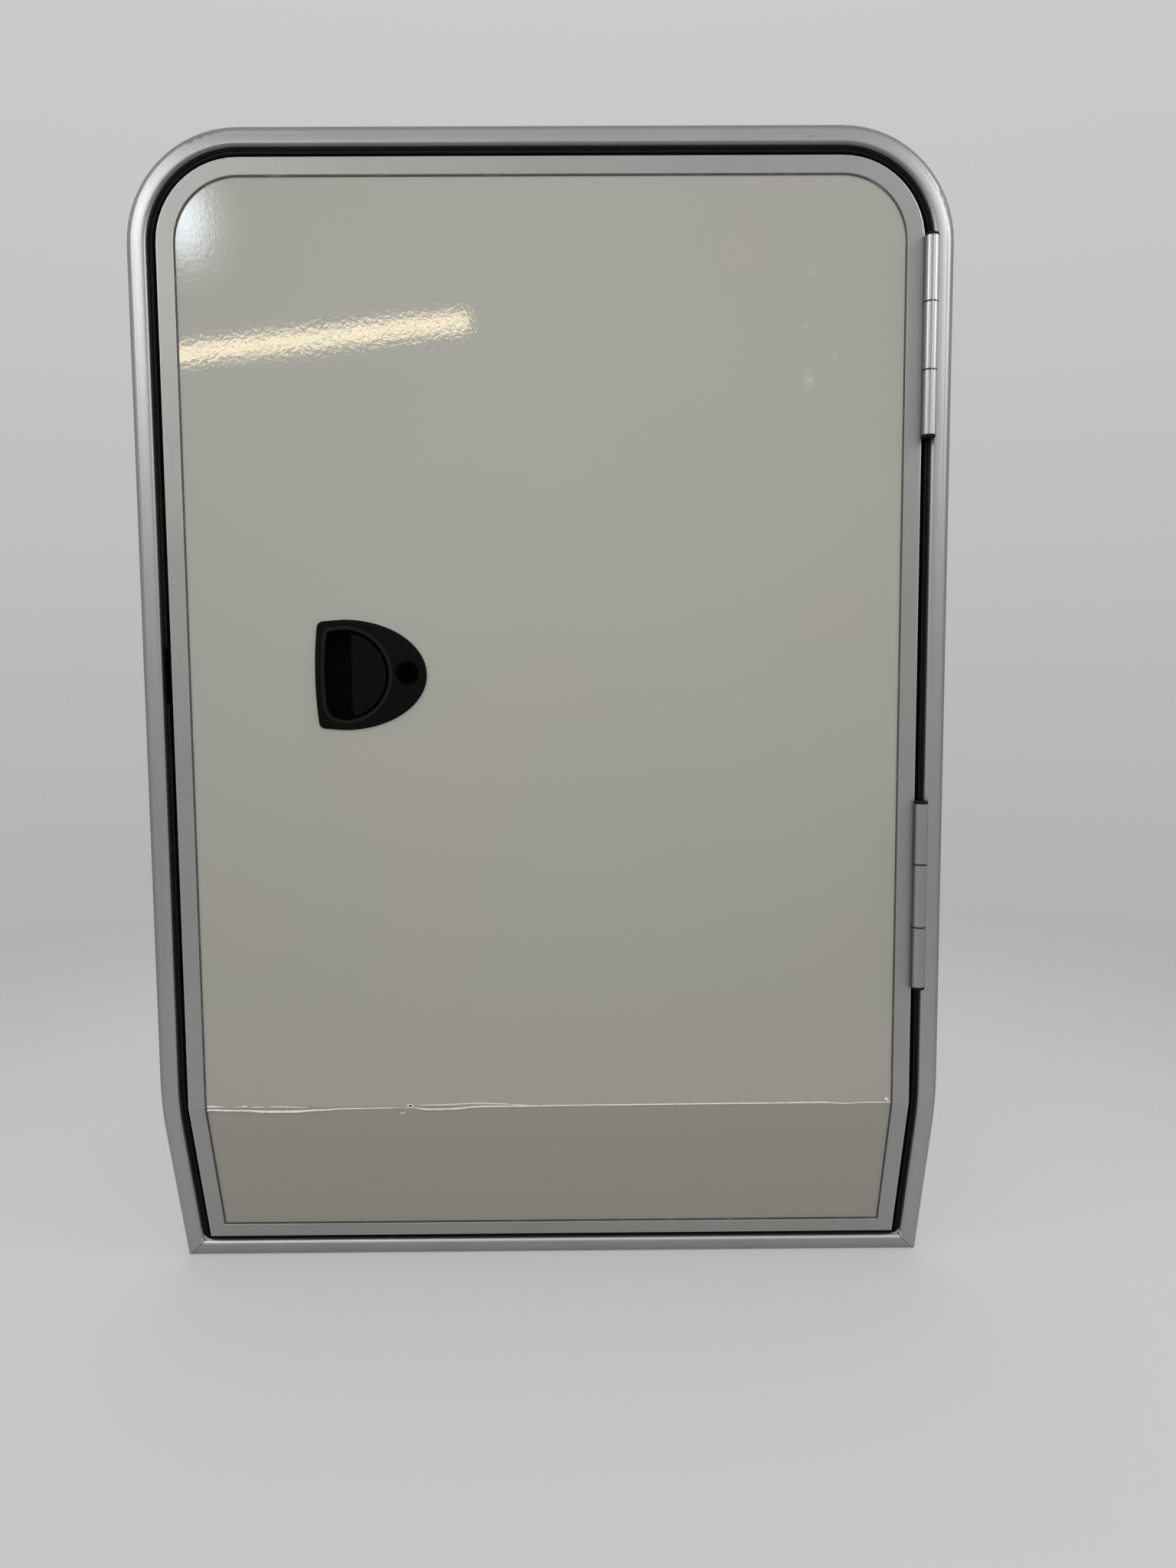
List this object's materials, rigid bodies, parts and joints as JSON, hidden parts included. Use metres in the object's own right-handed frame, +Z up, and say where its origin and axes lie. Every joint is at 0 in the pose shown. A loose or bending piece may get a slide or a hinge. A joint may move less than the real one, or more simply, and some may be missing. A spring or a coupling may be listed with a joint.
{
  "type": "caravan service door",
  "caption": "Folded service door for a caravan side wall: sandwich leaf with rounded top corners, hinged in an aluminium frame with rubber gasket, flush pull handle and sprung bolt.",
  "frame": {"origin": "centre of the four clamp screw holes, on the rear face of the outer frame", "axes": "+X to the hinge side as seen from outside, +Y into the vehicle, +Z up along the upper section"},
  "size_m": [0.7, 0.096, 1.0116],
  "materials": {
    "frame_aluminium": "satin anodised",
    "leaf_aluminium": "satin anodised",
    "gasket_rubber": "matt",
    "seal_rubber": "matt",
    "hinge_metal": "satin",
    "steel": "zinc plated",
    "black_steel": "black zinc plated",
    "black_plastic": "satin moulded",
    "paddle_plastic": "satin moulded",
    "nylon": "plain",
    "panel_paint": "gloss with fine orange peel",
    "inner_paint": "satin",
    "foam": "closed cell foam",
    "sealant": "cured sealant",
    "bolt_metal": "cast zinc",
    "cover_plastic": "moulded"
  },
  "bodies": {
    "frame": {"outer_frame": "frame_aluminium", "outer_frame_sill": "frame_aluminium", "frame_bracket_left": "frame_aluminium", "frame_bracket_right": "frame_aluminium", "frame_insert_left": "frame_aluminium", "frame_insert_right": "frame_aluminium", "frame_gasket": "gasket_rubber", "keeper": "black_steel", "keeper_screws": "black_steel", "hinge_screws_frame": "steel", "upper_hinge_frame_plate": "hinge_metal", "upper_hinge_pin": "steel", "upper_hinge_caps": "black_plastic", "upper_hinge_washers": "nylon", "lower_hinge_frame_plate": "hinge_metal", "lower_hinge_pin": "steel", "lower_hinge_caps": "black_plastic", "lower_hinge_washers": "nylon"},
    "leaf": {"leaf_frame": "leaf_aluminium", "leaf_sill": "leaf_aluminium", "leaf_cleat_left": "frame_aluminium", "leaf_cleat_right": "frame_aluminium", "upper_outer_skin": "panel_paint", "lower_outer_skin": "panel_paint", "upper_core": "foam", "lower_core": "foam", "upper_inner_skin": "inner_paint", "lower_inner_skin": "inner_paint", "edge_seal": "seal_rubber", "fold_sealant": "sealant", "handle_housing": "black_plastic", "paddle_pin": "black_steel", "paddle_spring": "black_steel", "bolt_guide": "nylon", "bolt_spring": "steel", "spring_stop": "nylon", "latch_cover": "cover_plastic", "cover_screws": "steel", "hinge_screws_leaf": "steel", "upper_hinge_leaf_plate": "hinge_metal", "lower_hinge_leaf_plate": "hinge_metal"},
    "paddle": {"paddle": "paddle_plastic"},
    "bolt": {"latch_bolt": "bolt_metal"}
  },
  "joints": [
    {"name": "door_swing", "type": "hinge", "parent": "frame", "child": "leaf", "pos_m": [0.3289, -0.0385, 0.03], "axis": [0, 0, 1], "range_deg": [0, 165]},
    {"name": "paddle_pull", "type": "hinge", "parent": "leaf", "child": "paddle", "pos_m": [-0.1422, -0.0314, -0.0127], "axis": [0, 0, 1], "range_deg": [0, 35], "stiffness_Nm_per_rad": 0.05, "springref_deg": -22.92},
    {"name": "bolt_slide", "type": "slide", "parent": "leaf", "child": "bolt", "axis": [-1, 0, 0], "range_m": [0, 0.0072], "stiffness_N_per_m": 200, "springref_m": 0.03, "deforming": ["bolt_spring"]}
  ]
}
